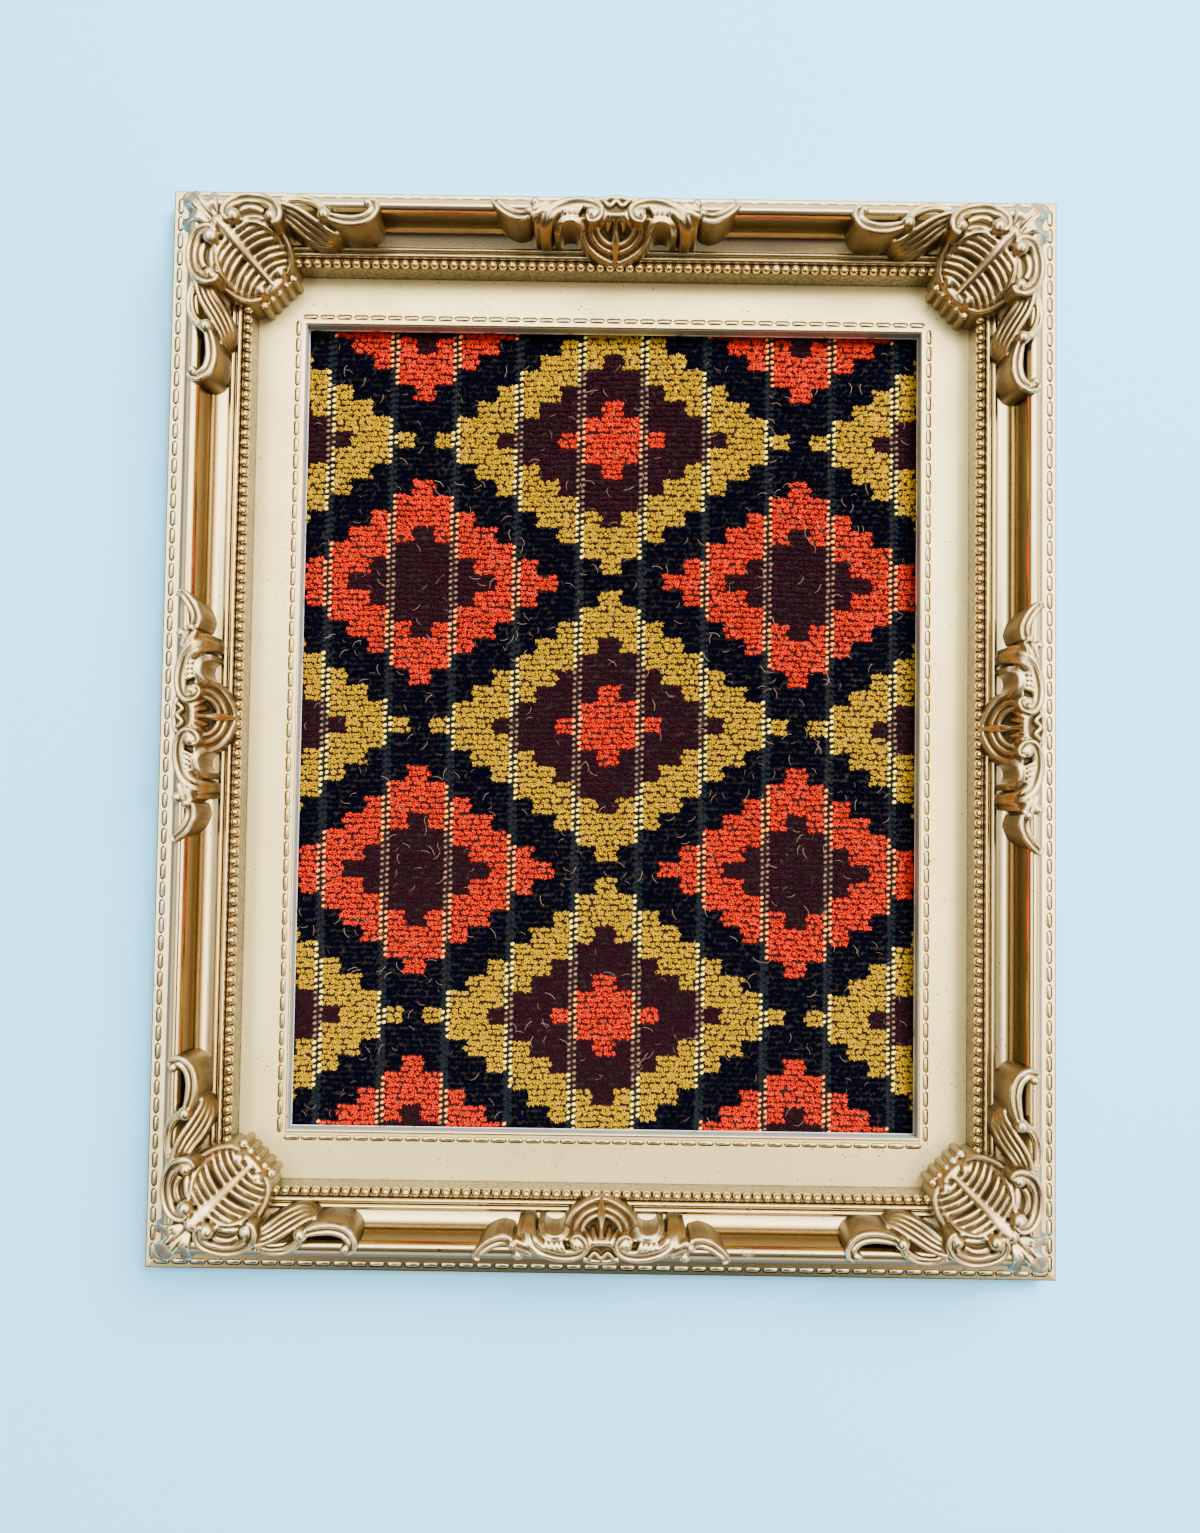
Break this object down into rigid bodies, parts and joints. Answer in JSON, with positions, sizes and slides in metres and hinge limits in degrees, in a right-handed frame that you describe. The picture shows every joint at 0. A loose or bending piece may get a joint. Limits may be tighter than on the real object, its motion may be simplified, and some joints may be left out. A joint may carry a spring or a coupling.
{
  "type": "framed moquette cloth in an ornate picture frame",
  "caption": "Cut-pile upholstery cloth stretched flat behind the lip of an ornate moulded gold picture frame with corner and rail ornaments.",
  "frame": {"origin": "centre of the frame's outline on the back plane", "axes": "+X across the width, +Y towards the top edge of the picture, +Z out of the picture's face"},
  "size_m": [0.275, 0.331, 0.0336],
  "materials": {
    "frame_gold": "antique gold paint, satin",
    "ornament_gold": "antique gold paint, rubbed pale on the high spots",
    "moquette": "cut pile, mustard, orange-red, aubergine and navy",
    "board": "plain brown fibreboard"
  },
  "bodies": {
    "root": {"frame_moulding": "frame_gold", "corner_ornament_1": "ornament_gold", "corner_ornament_2": "ornament_gold", "corner_ornament_3": "ornament_gold", "corner_ornament_4": "ornament_gold", "centre_ornament_1": "ornament_gold", "centre_ornament_2": "ornament_gold", "centre_ornament_3": "ornament_gold", "centre_ornament_4": "ornament_gold", "moquette_cloth": "moquette", "backing_board": "board"}
  },
  "joints": []
}
